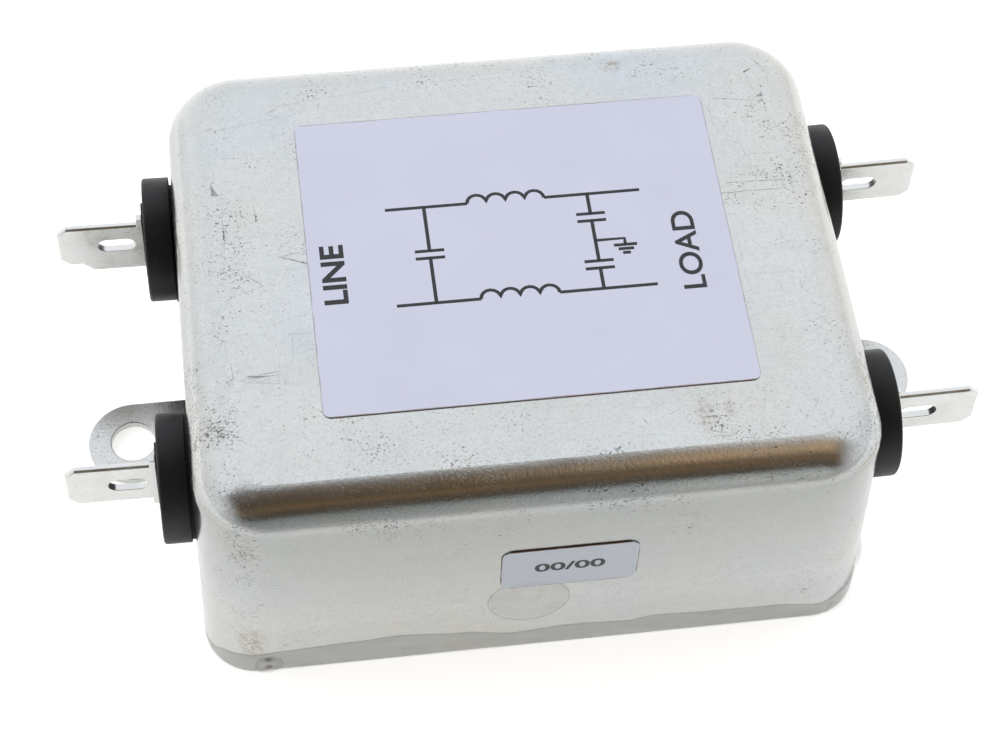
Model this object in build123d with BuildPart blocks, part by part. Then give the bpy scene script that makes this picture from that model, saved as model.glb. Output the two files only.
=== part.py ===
from build123d import *
from math import atan2, cos, degrees, radians, sin, sqrt
import os

os.makedirs("parts", exist_ok=True)

# Chassis-mounting mains line filter in a drawn tinplate can, potted with clear resin.
# Own frame: origin at the centre of the underside, +X towards the load terminals,
# +Y to the rear long side, +Z up. All sizes are in millimetres.

# Drawn can
can_length = 69.8
can_depth = 58.0
can_height = 30.0
can_wall = 0.6
wall_draft = 0.7
can_corner_radius = 6.7
top_edge_radius = 4.2

# Base plate and its two fixing ears
plate_thickness = 1.0
plate_gap = 0.2
ear_width = 9.8
ear_notch_gap = 0.15
fixing_hole_spacing = 82.6
fixing_hole_radius = 2.4

# Terminal positions, one pair on each end wall
terminal_from_side = 14.0
terminal_from_top = 12.5

# Moulded terminal insulator, its gasket and the washer inside the wall
insulator_radius = 6.65
insulator_thickness = 2.85
insulator_edge = 0.45
pad_length = 9.2
pad_width = 3.2
pad_height = 0.25
neck_side = 6.4
neck_gap = 0.1
gasket_radius = 6.35
gasket_thickness = 0.35
gasket_slip = 0.9
washer_side = 10.6
washer_thickness = 1.0

# Tab terminal
tab_width = 6.3
tab_thickness = 0.8
tab_reach = 9.1
tab_tip_chamfer = 1.0
tab_edge_bevel = 0.2
tab_slot_height = 2.0
tab_slot_length = 4.0
tab_slot_from_tip = 4.2
shoulder_width = 8.3
shoulder_length = 0.6
stem_width = 4.2
stem_gap = 0.08
tail_length = 6.0
strip_remnant_width = 1.05
strip_remnant_from_tip = 2.5

# Common-mode choke
core_outer_radius = 13.0
core_inner_radius = 7.0
core_height = 10.0
core_lift = 4.0
winding_wire = 1.1
winding_clearance = 0.1
winding_turns = 9
winding_turn_angle = 13.0
divider_thickness = 1.5
divider_overhang = 0.6
divider_gap = 0.1

# Capacitor across the two line tabs
x_capacitor_width = 18.0
x_capacitor_thickness = 8.5
x_capacitor_height = 14.5
x_capacitor_inset = 12.9
x_capacitor_lift = 2.0
x_capacitor_lead_pitch = 15.0
x_capacitor_edge = 0.8
capacitor_lead_wire = 0.8

# Capacitors to earth, one from each load tab
y_capacitor_width = 9.0
y_capacitor_thickness = 4.0
y_capacitor_height = 8.5
y_capacitor_from_terminal = 6.5
y_capacitor_inset = 10.9
y_capacitor_lift = 2.5
y_capacitor_lead_pitch = 5.0
y_capacitor_lead_wire = 0.6

# Discharge resistor
resistor_radius = 1.3
resistor_length = 6.8
resistor_wire = 0.6
resistor_inset = 3.4
resistor_rise = 3.6

# Earth tag welded inside the load end wall
earth_tag_width = 5.0
earth_tag_thickness = 0.5
earth_tag_height = 5.0
earth_tag_reach = 6.5
earth_tag_level = 12.6
earth_solder_setback = 1.2

# Labels
label_thickness = 0.12
rating_label_length = 43.4
rating_label_width = 36.3
rating_label_shift_x = 0.75
rating_label_shift_y = 0.8
rating_label_corner = 0.9
date_label_length = 13.9
date_label_width = 7.1
date_label_shift_x = 2.4
date_label_height = 16.4
date_label_corner = 0.6

# Clearance between a wire and the metal that it is soldered to
solder_gap = 0.05

# Heights and angles worked out from the sizes above
lean = degrees(atan2(wall_draft, can_height))
level_wall = can_wall / cos(radians(lean))
terminal_height = can_height - terminal_from_top
terminal_y = can_depth / 2 - terminal_from_side
neck_depth = can_wall + washer_thickness
insulator_face = gasket_thickness + insulator_thickness + pad_height
core_bottom = plate_thickness + core_lift
core_top = core_bottom + core_height


def end_wall_x(height):
    """Outside of a leaning end wall at a height above the foot."""
    return can_length / 2 - wall_draft * height / can_height


def side_wall_y(height):
    """Outside of a leaning side wall at a height above the foot."""
    return can_depth / 2 - wall_draft * height / can_height


def can_form(level_inset, inset):
    """Block with the can's leaning walls and rounded corners, set in level and square to the walls."""
    with BuildPart() as form:
        with BuildSketch():
            Rectangle(can_length - 2 * level_inset, can_depth - 2 * level_inset)
        extrude(amount=can_height - inset, taper=lean)
        leaning_edges = form.edges().group_by(Axis.Z)[1]
        fillet(leaning_edges, radius=can_corner_radius - inset)
    return form.part


def terminal_seat(end, side):
    """Plane on the outside of an end wall, Z axis outwards and X axis up the wall."""
    outward = (end * cos(radians(lean)), 0, sin(radians(lean)))
    up_wall = (-end * sin(radians(lean)), 0, cos(radians(lean)))
    seat_point = (end * end_wall_x(terminal_height), side * terminal_y, terminal_height)
    return Plane(origin=seat_point, x_dir=up_wall, z_dir=outward)


def tab_plane(end, side):
    """Plane of a tab's sheet, X axis outwards and Y axis up the wall."""
    seat = terminal_seat(end, side)
    return Plane(origin=seat.origin, x_dir=seat.z_dir, z_dir=(0, -end, 0))


def lead(points, wire):
    """Wire along straight runs with mitred bends, its round section drawn as a hexagon."""
    with BuildPart() as wire_part:
        with BuildLine() as route:
            Polyline(*points)
        with BuildSketch(Plane(route.line @ 0, z_dir=route.line % 0)):
            RegularPolygon(wire / 2, side_count=6)
        sweep(transition=Transition.RIGHT)
    return wire_part.part


ends = {"line": -1, "load": 1}
sides = {"rear": 1, "front": -1}
terminals = [(f"{end}_{side}", ends[end], sides[side]) for end in ends for side in sides]
inner_pieces = []

# Space inside the can: a flat along its top edge just touches the inside of the rounded edge
inside_edge_flat = (top_edge_radius - can_wall) * (2 - sqrt(2))
with BuildPart() as can_inside:
    add(can_form(level_wall, can_wall))
    chamfer(can_inside.faces().sort_by(Axis.Z)[-1].edges(), length=inside_edge_flat)

# Can: the drawn shell, open at the foot
with BuildPart() as can:
    add(can_form(0, 0))
    fillet(can.faces().sort_by(Axis.Z)[-1].edges(), radius=top_edge_radius)
    add(can_inside.part, mode=Mode.SUBTRACT)
    for name, end, side in terminals:
        with BuildSketch(terminal_seat(end, side)):
            Rectangle(neck_side + 2 * neck_gap, neck_side + 2 * neck_gap)
        extrude(amount=neck_depth, both=True, mode=Mode.SUBTRACT)
    with BuildSketch():
        Rectangle(can_length + 2 * can_wall, ear_width + 2 * ear_notch_gap)
    extrude(amount=plate_thickness + ear_notch_gap, mode=Mode.SUBTRACT)
can.part.label = "can"
export_step(can.part, "parts/can.step")

# Base plate: one stamping that closes the mouth, with the ears in one piece with it
with BuildPart() as base_plate:
    with BuildSketch():
        RectangleRounded(
            2 * (end_wall_x(plate_thickness) - level_wall - plate_gap),
            2 * (side_wall_y(plate_thickness) - level_wall - plate_gap),
            can_corner_radius - can_wall - plate_gap,
        )
        SlotCenterToCenter(fixing_hole_spacing, ear_width)
        with GridLocations(fixing_hole_spacing, 0, 2, 1):
            Circle(fixing_hole_radius, mode=Mode.SUBTRACT)
    extrude(amount=plate_thickness)
base_plate.part.label = "base_plate"
export_step(base_plate.part, "parts/base_plate.step")

# Terminals: gasket, insulator, inner washer and tab at each of the four places
for name, end, side in terminals:
    seat = terminal_seat(end, side)
    sheet = tab_plane(end, side)
    # The line rear gasket has slipped down the wall, as far as its hole leaves room
    slip = gasket_slip if name == "line_rear" else 0
    with BuildPart() as gasket:
        with BuildSketch(seat):
            with Locations((-slip, 0)):
                Circle(gasket_radius)
                hole_side = neck_side + 2 * (neck_gap + gasket_slip)
                Rectangle(hole_side, hole_side, mode=Mode.SUBTRACT)
        extrude(amount=gasket_thickness)
    gasket.part.label = f"gasket_{name}"
    export_step(gasket.part, f"parts/gasket_{name}.step")

    with BuildPart() as insulator:
        with BuildSketch(seat.offset(gasket_thickness)):
            Circle(insulator_radius)
        extrude(amount=insulator_thickness)
        outer_rim = insulator.faces().sort_by(Axis(seat.origin, seat.z_dir))[-1].edges()
        chamfer(outer_rim, length=insulator_edge)
        with BuildSketch(seat.offset(gasket_thickness + insulator_thickness)):
            Rectangle(pad_length, pad_width)
        extrude(amount=pad_height)
        with BuildSketch(seat.offset(gasket_thickness)):
            Rectangle(neck_side, neck_side)
        extrude(amount=-gasket_thickness - neck_depth)
        with BuildSketch(seat.offset(insulator_face)):
            Rectangle(stem_width + 2 * stem_gap, tab_thickness + 2 * stem_gap)
        extrude(amount=-insulator_face - neck_depth, mode=Mode.SUBTRACT)
    insulator.part.label = f"insulator_{name}"
    export_step(insulator.part, f"parts/insulator_{name}.step")

    with BuildPart() as inner_washer:
        with BuildSketch(seat.offset(-can_wall)):
            Rectangle(washer_side, washer_side)
            Rectangle(neck_side + 2 * neck_gap, neck_side + 2 * neck_gap, mode=Mode.SUBTRACT)
        extrude(amount=-washer_thickness)
        add(can_inside.part, mode=Mode.INTERSECT)
    inner_washer.part.label = f"inner_washer_{name}"
    export_step(inner_washer.part, f"parts/inner_washer_{name}.step")

    tip = insulator_face + tab_reach
    slot_middle = tip - tab_slot_from_tip - tab_slot_length / 2
    tail_end = -neck_depth - tail_length
    with BuildPart() as tab:
        with BuildSketch(sheet):
            with BuildLine():
                Polyline(
                    (insulator_face, -tab_width / 2),
                    (tip - tab_tip_chamfer, -tab_width / 2),
                    (tip, -tab_width / 2 + tab_tip_chamfer),
                    (tip, tab_width / 2 - tab_tip_chamfer),
                    (tip - tab_tip_chamfer, tab_width / 2),
                    (insulator_face, tab_width / 2),
                    close=True,
                )
            make_face()
        extrude(amount=tab_thickness / 2, both=True)
        blade_rims = tab.faces().filter_by(Axis.Y).edges()
        blade_base = blade_rims.sort_by(Axis(sheet.origin, sheet.x_dir))[0:2]
        chamfer([edge for edge in blade_rims if edge not in blade_base], length=tab_edge_bevel)
        with BuildSketch(sheet):
            with Locations((insulator_face + shoulder_length / 2, 0)):
                Rectangle(shoulder_length, shoulder_width)
            with Locations(((tail_end + insulator_face) / 2, 0)):
                Rectangle(insulator_face - tail_end, stem_width)
            if name == "line_rear":
                with BuildLine():
                    Polyline(
                        (insulator_face, -tab_width / 2 + tab_edge_bevel),
                        (tip - strip_remnant_from_tip, -tab_width / 2 + tab_edge_bevel),
                        (tip - strip_remnant_from_tip, -tab_width / 2),
                        (
                            tip - strip_remnant_from_tip - strip_remnant_width,
                            -tab_width / 2 - strip_remnant_width,
                        ),
                        (insulator_face, -tab_width / 2 - strip_remnant_width),
                        close=True,
                    )
                make_face()
        extrude(amount=tab_thickness / 2, both=True)
        with BuildSketch(sheet):
            with Locations((slot_middle, 0)):
                SlotOverall(tab_slot_length, tab_slot_height)
        extrude(amount=tab_thickness, both=True, mode=Mode.SUBTRACT)
    tab.part.label = f"tab_{name}"
    export_step(tab.part, f"parts/tab_{name}.step")
    inner_pieces += [inner_washer.part, insulator.part, tab.part]

# Along the can inside: the supply capacitor, the choke and the earth capacitors
wall_inside_x = end_wall_x(terminal_height) - level_wall
tail_inner_x = wall_inside_x - washer_thickness - tail_length
x_capacitor_x = -wall_inside_x + x_capacitor_inset
y_capacitor_x = wall_inside_x - y_capacitor_inset
free_from = x_capacitor_x + x_capacitor_thickness / 2
free_to = y_capacitor_x - y_capacitor_thickness / 2
choke_x = (free_from + free_to) / 2
choke_centre = (choke_x, 0)

# Choke core: a ferrite ring lying flat, midway between the capacitors
with BuildPart() as choke_core:
    with BuildSketch(Plane.XY.offset(core_bottom)):
        with Locations(choke_centre):
            Circle(core_outer_radius)
            Circle(core_inner_radius, mode=Mode.SUBTRACT)
    extrude(amount=core_height)
choke_core.part.label = "choke_core"
export_step(choke_core.part, "parts/choke_core.step")
inner_pieces.append(choke_core.part)

# Divider: a plastic plate across the bore that keeps the two windings apart
with BuildPart() as core_divider:
    with BuildSketch(Plane.XY.offset(core_bottom - divider_overhang)):
        with Locations(choke_centre):
            Rectangle(2 * (core_inner_radius - divider_gap), divider_thickness)
    extrude(amount=core_height + 2 * divider_overhang)
core_divider.part.label = "core_divider"
export_step(core_divider.part, "parts/core_divider.step")
inner_pieces.append(core_divider.part)

# Windings: one wire each, from its line tab round the core to its load tab
wire_offset = winding_wire / 2 + winding_clearance
inner_leg = core_inner_radius - wire_offset
outer_leg = core_outer_radius + wire_offset
wire_low = core_bottom - wire_offset
wire_high = core_top + wire_offset
tail_side = terminal_y - tab_thickness / 2 - solder_gap - winding_wire / 2
tail_middle_x = tail_inner_x + tail_length / 2


def around_core(radius, angle, height, side):
    """Point on the wire's route, at an angle from the load end about the choke's axis."""
    return (
        choke_x + radius * cos(radians(angle)),
        side * radius * sin(radians(angle)),
        height,
    )


for name, side in (("line_winding", 1), ("neutral_winding", -1)):
    first_angle = 90 + winding_turn_angle * (winding_turns - 1) / 2
    entry = around_core(outer_leg, first_angle + winding_turn_angle / 2, wire_high, side)
    route = [
        (-tail_middle_x, side * tail_side, terminal_height),
        (entry[0] - winding_wire, side * tail_side, terminal_height),
        entry,
        around_core(outer_leg, first_angle + winding_turn_angle / 2, wire_low, side),
    ]
    for turn in range(winding_turns):
        angle = first_angle - turn * winding_turn_angle
        route += [
            around_core(inner_leg, angle, wire_low, side),
            around_core(inner_leg, angle, wire_high, side),
            around_core(outer_leg, angle - winding_turn_angle / 2, wire_high, side),
        ]
        if turn < winding_turns - 1:
            route.append(around_core(outer_leg, angle - winding_turn_angle / 2, wire_low, side))
    leave = route[-1]
    route += [
        (leave[0] + winding_wire, side * tail_side, terminal_height),
        (tail_middle_x, side * tail_side, terminal_height),
    ]
    with BuildPart() as winding:
        add(lead(route, winding_wire))
    winding.part.label = name
    export_step(winding.part, f"parts/{name}.step")
    inner_pieces.append(winding.part)

# Supply capacitor: a boxed film capacitor on end beside the line tabs, leads to both of them
tail_drop = (neck_depth + tail_length) * sin(radians(lean))
above_tail = terminal_height + stem_width / 2 + solder_gap
below_tail = terminal_height - stem_width / 2 - tail_drop - solder_gap
tail_tip_x = tail_inner_x + capacitor_lead_wire
x_capacitor_top = plate_thickness + x_capacitor_lift + x_capacitor_height
with BuildPart() as x_capacitor:
    with BuildSketch(Plane.XY.offset(plate_thickness + x_capacitor_lift)):
        with Locations((x_capacitor_x, 0)):
            Rectangle(x_capacitor_thickness, x_capacitor_width)
    extrude(amount=x_capacitor_height)
    chamfer(x_capacitor.edges().filter_by(Axis.Z), length=x_capacitor_edge)
    for side in sides.values():
        lead_y = side * x_capacitor_lead_pitch / 2
        lead_level = above_tail + capacitor_lead_wire / 2
        lead_points = [
            (x_capacitor_x, lead_y, x_capacitor_top - capacitor_lead_wire),
            (x_capacitor_x, lead_y, lead_level),
            (-tail_tip_x, side * terminal_y, lead_level),
        ]
        add(lead(lead_points, capacitor_lead_wire))
x_capacitor.part.label = "x_capacitor"
export_step(x_capacitor.part, "parts/x_capacitor.step")
inner_pieces.append(x_capacitor.part)

# Discharge resistor across the line tabs, above the supply capacitor
resistor_x = -wall_inside_x + resistor_inset
resistor_level = above_tail + resistor_rise
with BuildPart() as discharge_resistor:
    with BuildSketch(Plane.XZ.offset(-resistor_length / 2)):
        with Locations((resistor_x, resistor_level)):
            Circle(resistor_radius)
    extrude(amount=resistor_length)
    for side in sides.values():
        lead_points = [
            (resistor_x, 0, resistor_level),
            (resistor_x, side * terminal_y, resistor_level),
            (resistor_x, side * terminal_y, above_tail),
        ]
        add(lead(lead_points, resistor_wire))
discharge_resistor.part.label = "discharge_resistor"
export_step(discharge_resistor.part, "parts/discharge_resistor.step")
inner_pieces.append(discharge_resistor.part)

# Earth tag: a bent lug welded to the inside of the load end wall
tag_face_x = end_wall_x(earth_tag_level) - level_wall
inward = (-cos(radians(lean)), 0, -sin(radians(lean)))
tag_side = Plane(origin=(tag_face_x, 0, earth_tag_level), x_dir=inward, z_dir=(0, 1, 0))
with BuildPart() as earth_tag:
    with BuildSketch(tag_side):
        with BuildLine():
            Polyline(
                (0, 0),
                (earth_tag_reach, 0),
                (earth_tag_reach, -earth_tag_thickness),
                (earth_tag_thickness, -earth_tag_thickness),
                (earth_tag_thickness, -earth_tag_height),
                (0, -earth_tag_height),
                close=True,
            )
        make_face()
    extrude(amount=earth_tag_width / 2, both=True)
earth_tag.part.label = "earth_tag"
export_step(earth_tag.part, "parts/earth_tag.step")
inner_pieces.append(earth_tag.part)

# Earth capacitors: a small boxed one for each load tab, its other lead on the earth tag
y_capacitor_foot = plate_thickness + y_capacitor_lift
y_capacitor_top = y_capacitor_foot + y_capacitor_height
tab_lead_level = below_tail - y_capacitor_lead_wire / 2
earth_lead_level = earth_tag_level + solder_gap + y_capacitor_lead_wire / 2
for name, side in (("y_capacitor_line", 1), ("y_capacitor_neutral", -1)):
    middle_y = side * (terminal_y - y_capacitor_from_terminal)
    tab_lead_y = middle_y + side * y_capacitor_lead_pitch / 2
    earth_lead_y = middle_y - side * y_capacitor_lead_pitch / 2
    to_tab = [
        (y_capacitor_x, tab_lead_y, y_capacitor_top - y_capacitor_lead_wire),
        (y_capacitor_x, tab_lead_y, tab_lead_level),
        (tail_tip_x, side * terminal_y, tab_lead_level),
    ]
    to_earth = [
        (y_capacitor_x, earth_lead_y, y_capacitor_top - y_capacitor_lead_wire),
        (y_capacitor_x, earth_lead_y, earth_lead_level),
        (
            tag_face_x - earth_tag_reach + earth_solder_setback,
            side * (earth_tag_width / 2 - y_capacitor_lead_wire),
            earth_lead_level,
        ),
    ]
    with BuildPart() as y_capacitor:
        with BuildSketch(Plane.XY.offset(y_capacitor_foot)):
            with Locations((y_capacitor_x, middle_y)):
                Rectangle(y_capacitor_thickness, y_capacitor_width)
        extrude(amount=y_capacitor_height)
        add(lead(to_tab, y_capacitor_lead_wire))
        add(lead(to_earth, y_capacitor_lead_wire))
    y_capacitor.part.label = name
    export_step(y_capacitor.part, f"parts/{name}.step")
    inner_pieces.append(y_capacitor.part)

# Potting: resin poured round everything inside, with a plain round pocket for the wound choke
with BuildPart() as potting:
    add(can_inside.part)
    add(base_plate.part, mode=Mode.SUBTRACT)
    with BuildSketch(Plane.XY.offset(wire_low - wire_offset)):
        with Locations(choke_centre):
            Circle(outer_leg + wire_offset)
    extrude(amount=wire_high - wire_low + 2 * wire_offset, mode=Mode.SUBTRACT)
    for piece in inner_pieces:
        add(piece, mode=Mode.SUBTRACT)
potting.part.label = "potting"
export_step(potting.part, "parts/potting.step")

# Rating label on the flat top
with BuildPart() as rating_label:
    with BuildSketch(Plane.XY.offset(can_height)):
        with Locations((rating_label_shift_x, rating_label_shift_y)):
            RectangleRounded(rating_label_length, rating_label_width, rating_label_corner)
    extrude(amount=label_thickness)
rating_label.part.label = "rating_label"
export_step(rating_label.part, "parts/rating_label.step")

# Date label on the front wall, lying against its lean
front_point = (date_label_shift_x, -side_wall_y(date_label_height), date_label_height)
front_wall = Plane(
    origin=front_point,
    x_dir=(1, 0, 0),
    z_dir=(0, -cos(radians(lean)), sin(radians(lean))),
)
with BuildPart() as date_label:
    with BuildSketch(front_wall):
        RectangleRounded(date_label_length, date_label_width, date_label_corner)
    extrude(amount=label_thickness)
date_label.part.label = "date_label"
export_step(date_label.part, "parts/date_label.step")
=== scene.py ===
# %% [markdown]
# # A mains line filter in a drawn tinplate can
# The filter is a deep-drawn steel can, filled with resin, that bolts to a chassis by two flat ears.
# Two tab terminals stand out of each end wall in black mouldings. A paper-thin label lies on top,
# and a small one on the front wall.
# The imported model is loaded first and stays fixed. Everything made below is placed in its frame,
# in metres: +X runs to the load terminals, +Y to the rear and +Z up through the label.

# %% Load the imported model
import math

import bmesh
import bpy
from mathutils import Matrix, Vector, noise


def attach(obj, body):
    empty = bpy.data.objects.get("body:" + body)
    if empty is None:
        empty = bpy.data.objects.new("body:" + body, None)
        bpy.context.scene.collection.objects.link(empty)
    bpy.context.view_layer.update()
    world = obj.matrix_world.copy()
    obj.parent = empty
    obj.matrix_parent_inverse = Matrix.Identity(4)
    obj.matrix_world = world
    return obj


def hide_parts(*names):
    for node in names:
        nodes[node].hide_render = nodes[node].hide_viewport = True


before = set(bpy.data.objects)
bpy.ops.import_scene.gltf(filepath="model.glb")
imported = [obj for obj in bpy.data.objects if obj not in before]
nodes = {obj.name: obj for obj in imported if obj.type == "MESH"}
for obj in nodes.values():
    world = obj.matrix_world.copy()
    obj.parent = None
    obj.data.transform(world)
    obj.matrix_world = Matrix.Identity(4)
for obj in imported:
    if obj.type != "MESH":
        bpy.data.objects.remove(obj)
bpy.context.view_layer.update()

mm = 0.001
merge_distance = 0.002 * mm
cut_tolerance = 0.001 * mm

# %% [markdown]
# ## The camera
# The photograph looks down on the filter from the front, a little from the line end.
# A camera could be turned by three angles, but a place, a point to look at and a roll are easier to read.
# The long lens keeps the can's upright edges nearly parallel, as they are in the photograph.

# %% Place the camera
camera_place = Vector((-25.463, -139.095, 225.896)) * mm
looks_at = Vector((-1.309, -3.184, 12.821)) * mm
lens_length = 85.41
roll = math.radians(-3.3675)

ahead = (looks_at - camera_place).normalized()
level_right = ahead.cross(Vector((0, 0, 1))).normalized()
level_up = level_right.cross(ahead)
right = level_right * math.cos(roll) - level_up * math.sin(roll)
up = right.cross(ahead)
camera_data = bpy.data.cameras.new("camera")
camera_data.lens = lens_length
camera_data.sensor_width = 36
camera_data.clip_start = 0.01
camera = bpy.data.objects.new("camera", camera_data)
camera.matrix_world = Matrix.Translation(camera_place) @ Matrix((right, up, -ahead)).transposed().to_4x4()
bpy.context.scene.collection.objects.link(camera)
bpy.context.scene.camera = camera
print("camera looks down at", round(math.degrees(math.asin(-ahead.z)), 2), "degrees")

# %% [markdown]
# ## A kit for node materials
# Every finish below is a small tree of nodes. Written out in full, each would take a page,
# so small helpers make a node, link it and hand back its output.
# Patterns read Object coordinates, which stay on the piece whatever the camera does.

# %% Helpers for materials
def new_finish(name):
    """An empty node tree with a Principled shader, and the shader itself."""
    finish = bpy.data.materials.new(name)
    finish.use_nodes = True
    shader = finish.node_tree.nodes["Principled BSDF"]
    return finish, finish.node_tree, shader


def plug(tree, value, socket):
    """Links an output to a socket, or sets the socket to a plain value."""
    if isinstance(value, bpy.types.NodeSocket):
        tree.links.new(value, socket)
    else:
        socket.default_value = value


def object_place(tree, stretch=(1, 1, 1), turn=(0, 0, 0), shift=(0, 0, 0)):
    """Object coordinates, stretched and turned by a Mapping node."""
    coordinates = tree.nodes.new("ShaderNodeTexCoord")
    mapping = tree.nodes.new("ShaderNodeMapping")
    mapping.inputs["Scale"].default_value = stretch
    mapping.inputs["Rotation"].default_value = turn
    mapping.inputs["Location"].default_value = shift
    tree.links.new(coordinates.outputs["Object"], mapping.inputs["Vector"])
    return mapping.outputs["Vector"]


def speckle(tree, place, size, detail=3.0, roughness=0.5):
    """Noise whose blots are about size across, in metres."""
    blots = tree.nodes.new("ShaderNodeTexNoise")
    blots.inputs["Scale"].default_value = 1 / size
    blots.inputs["Detail"].default_value = detail
    blots.inputs["Roughness"].default_value = roughness
    tree.links.new(place, blots.inputs["Vector"])
    return blots.outputs["Fac"]


def remap(tree, value, low, high, to_low=0.0, to_high=1.0):
    """Stretches the part of a value between low and high over a new range."""
    node = tree.nodes.new("ShaderNodeMapRange")
    plug(tree, value, node.inputs["Value"])
    for socket, number in zip(("From Min", "From Max", "To Min", "To Max"), (low, high, to_low, to_high)):
        plug(tree, number, node.inputs[socket])
    return node.outputs["Result"]


def calculate(tree, operation, first, second=0.0, third=0.0):
    """One Math node."""
    node = tree.nodes.new("ShaderNodeMath")
    node.operation = operation
    for socket, value in zip(node.inputs, (first, second, third)):
        plug(tree, value, socket)
    return node.outputs["Value"]


def blend_colours(tree, factor, first, second, how="MIX"):
    """Mixes two colours by a factor."""
    node = tree.nodes.new("ShaderNodeMix")
    node.data_type = "RGBA"
    node.blend_type = how
    plug(tree, factor, node.inputs["Factor"])
    for socket, colour in ((node.inputs[6], first), (node.inputs[7], second)):
        plug(tree, (*colour, 1) if isinstance(colour, tuple) else colour, socket)
    return node.outputs[2]


def near_spot(tree, place, spot, reach, weight=1.0, stretch=(1, 1, 1)):
    """A value that falls from weight to 0 within reach of a spot. Spot and reach are in millimetres."""
    scaled = tree.nodes.new("ShaderNodeVectorMath")
    scaled.operation = "MULTIPLY"
    tree.links.new(place, scaled.inputs[0])
    scaled.inputs[1].default_value = stretch
    distance = tree.nodes.new("ShaderNodeVectorMath")
    distance.operation = "DISTANCE"
    tree.links.new(scaled.outputs["Vector"], distance.inputs[0])
    distance.inputs[1].default_value = tuple(c * s * mm for c, s in zip(spot, stretch))
    return remap(tree, distance.outputs["Value"], reach * mm, 0.0, 0.0, weight)


def roughen(tree, shader, height, depth, strength=1.0):
    """Bump from a height between 0 and 1, depth in metres."""
    bump = tree.nodes.new("ShaderNodeBump")
    bump.inputs["Strength"].default_value = strength
    bump.inputs["Distance"].default_value = depth
    plug(tree, height, bump.inputs["Height"])
    tree.links.new(bump.outputs["Normal"], shader.inputs["Normal"])


# %% [markdown]
# ## The studio
# Polished metal has hardly a colour of its own: what it shows is the room.
# The flat top mirrors a bright wall behind the filter, the front wall mirrors the white table,
# and the rounded edge between them sweeps over everything above, where the room is dark and brown.
# So the room is painted as a sky by direction: a bright back, a brown patch overhead, a pale front.

# %% Light the studio
def paint_room(tree):
    """Colours the world by direction: bright at the back, brown overhead, grey in front."""
    coordinates = tree.nodes.new("ShaderNodeTexCoord")
    split = tree.nodes.new("ShaderNodeSeparateXYZ")
    tree.links.new(coordinates.outputs["Generated"], split.inputs["Vector"])
    across, depth, height = split.outputs
    tilt = calculate(tree, "ARCTAN2", calculate(tree, "MULTIPLY", depth, -1.0), height)
    tilt_degrees = calculate(tree, "DEGREES", tilt)
    # The dark patch runs from 28 degrees behind the zenith to 62 in front of it,
    # and slips forward at its sides
    to_left = calculate(tree, "MAXIMUM", calculate(tree, "MULTIPLY", across, -1.0), 0.0)
    to_right = calculate(tree, "MAXIMUM", calculate(tree, "SUBTRACT", across, 0.2), 0.0)
    push_left = calculate(tree, "MULTIPLY", to_left, 45.0)
    push_right = calculate(tree, "MULTIPLY", to_right, 75.0)
    push = calculate(tree, "ADD", push_left, push_right)
    start = calculate(tree, "SUBTRACT", calculate(tree, "ADD", tilt_degrees, 28.0), push)
    along = calculate(tree, "DIVIDE", start, calculate(tree, "MULTIPLY_ADD", push, -0.5, 90.0))
    # Brown on the left of the room, golden on the right, and a little brighter in front of it there
    golden_side = remap(tree, across, 0.60, 0.28, 0.15, 1.0)
    gold = calculate(tree, "MULTIPLY", remap(tree, across, 0.09, 0.21), golden_side)
    first_stop, last_stop = -1.0, 1.6
    back_wall = [(first_stop, (1.40, 1.42, 1.45)), (-0.25, (1.24, 1.28, 1.34)),
                 (-0.06, (1.34, 1.39, 1.48)), (0.02, (1.30, 1.33, 1.38))]
    views = []
    for stops in (
        [*back_wall, (0.10, (0.24, 0.22, 0.20)), (0.22, (0.19, 0.165, 0.14)), (0.39, (0.13, 0.10, 0.075)),
         (0.60, (0.15, 0.105, 0.06)), (0.69, (0.26, 0.165, 0.085)), (0.77, (0.14, 0.10, 0.065)),
         (0.93, (0.10, 0.09, 0.075)), (1.02, (0.29, 0.31, 0.30)), (1.25, (0.46, 0.48, 0.47)),
         (last_stop, (0.50, 0.52, 0.51))],
        [*back_wall, (0.10, (0.52, 0.46, 0.38)), (0.22, (0.72, 0.52, 0.34)), (0.39, (0.86, 0.60, 0.36)),
         (0.53, (0.27, 0.18, 0.11)), (0.69, (0.20, 0.14, 0.09)), (0.80, (0.16, 0.12, 0.085)),
         (0.93, (0.11, 0.095, 0.08)), (1.01, (0.52, 0.54, 0.53)), (1.18, (0.80, 0.82, 0.80)),
         (last_stop, (0.86, 0.87, 0.85))],
    ):
        ramp = tree.nodes.new("ShaderNodeValToRGB")
        plug(tree, remap(tree, along, first_stop, last_stop), ramp.inputs["Fac"])
        elements = ramp.color_ramp.elements
        while len(elements) < len(stops):
            elements.new(0.5)
        for element, (place, colour) in zip(elements, stops):
            element.position = (place - first_stop) / (last_stop - first_stop)
            element.color = (*colour, 1)
        views.append(ramp.outputs["Color"])
    overhead = blend_colours(tree, gold, *views)
    # The patch ends softly towards both sides, where the room is pale
    left_fade = remap(tree, across, -0.93, -0.62)
    right_fade = remap(tree, across, 0.93, 0.52)
    patch = calculate(tree, "MULTIPLY", left_fade, right_fade)
    room = blend_colours(tree, patch, (1.10, 1.11, 1.13), overhead)
    below = remap(tree, height, -0.03, -0.08)
    return blend_colours(tree, below, room, (0.5, 0.5, 0.49))


world = bpy.data.worlds.new("studio")
bpy.context.scene.world = world
world.use_nodes = True
backdrop = world.node_tree.nodes["Background"]
world.node_tree.links.new(paint_room(world.node_tree), backdrop.inputs["Color"])
backdrop.inputs["Strength"].default_value = 1.0
print("the room is painted by direction with", len(world.node_tree.nodes), "nodes")


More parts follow.
